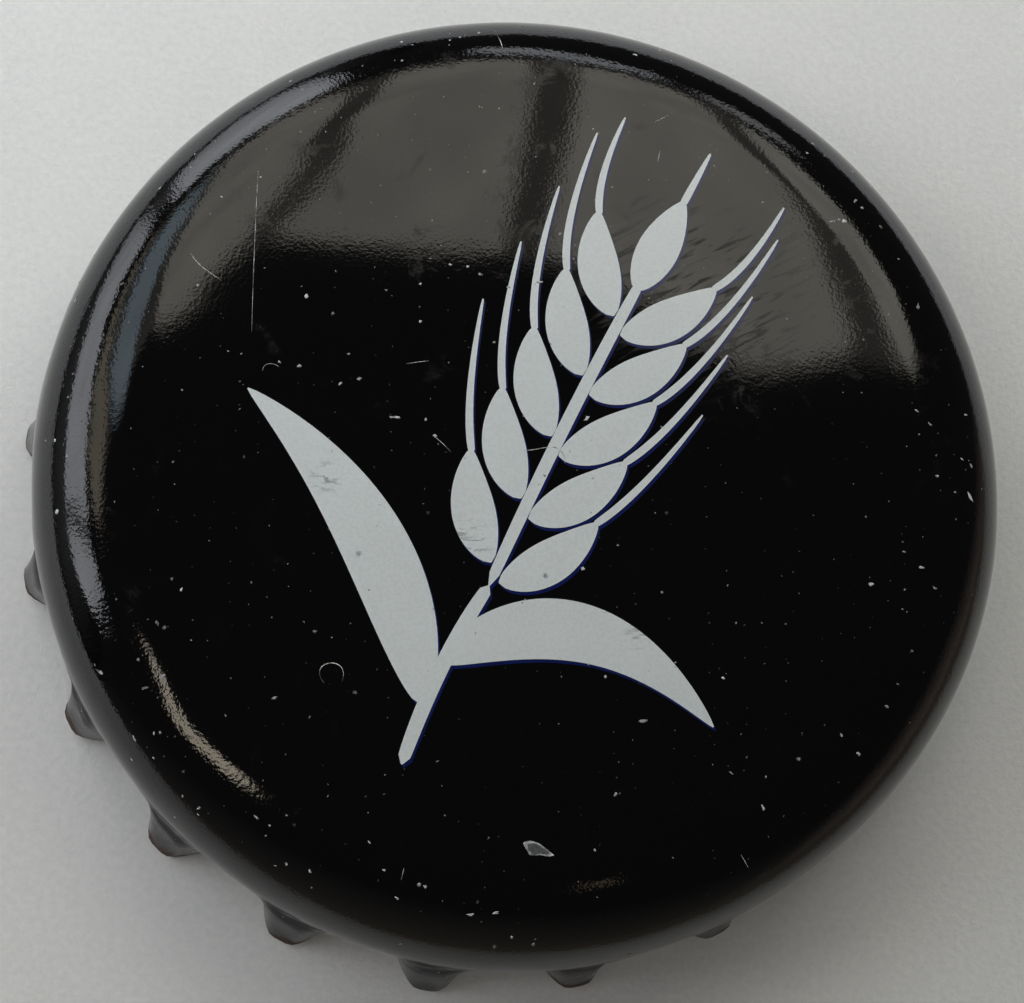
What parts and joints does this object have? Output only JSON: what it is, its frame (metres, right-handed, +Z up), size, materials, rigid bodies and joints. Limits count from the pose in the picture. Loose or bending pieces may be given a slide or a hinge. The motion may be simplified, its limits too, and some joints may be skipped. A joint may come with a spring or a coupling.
{
  "type": "crown bottle cap",
  "caption": "Round crimped metal bottle cap with a fluted, toothed skirt, a glossy black domed panel with a plain white ear of grain on it, and a moulded sealing liner inside.",
  "frame": {"origin": "centre of the cap on the plane that the edge of its skirt stands on", "axes": "+Z up through the middle of the panel, +Y towards the top of what is printed on the panel, +X to its right"},
  "size_m": [0.0289, 0.0288, 0.006],
  "materials": {
    "lacquered_tinplate": "glossy black lacquer over tinplate, with small chips on the shoulder and raw rusty edges on the teeth",
    "liner_compound": "smooth off-white moulded compound, slightly translucent"
  },
  "bodies": {
    "root": {"crown_shell": "lacquered_tinplate", "seal_liner": "liner_compound"}
  },
  "joints": []
}
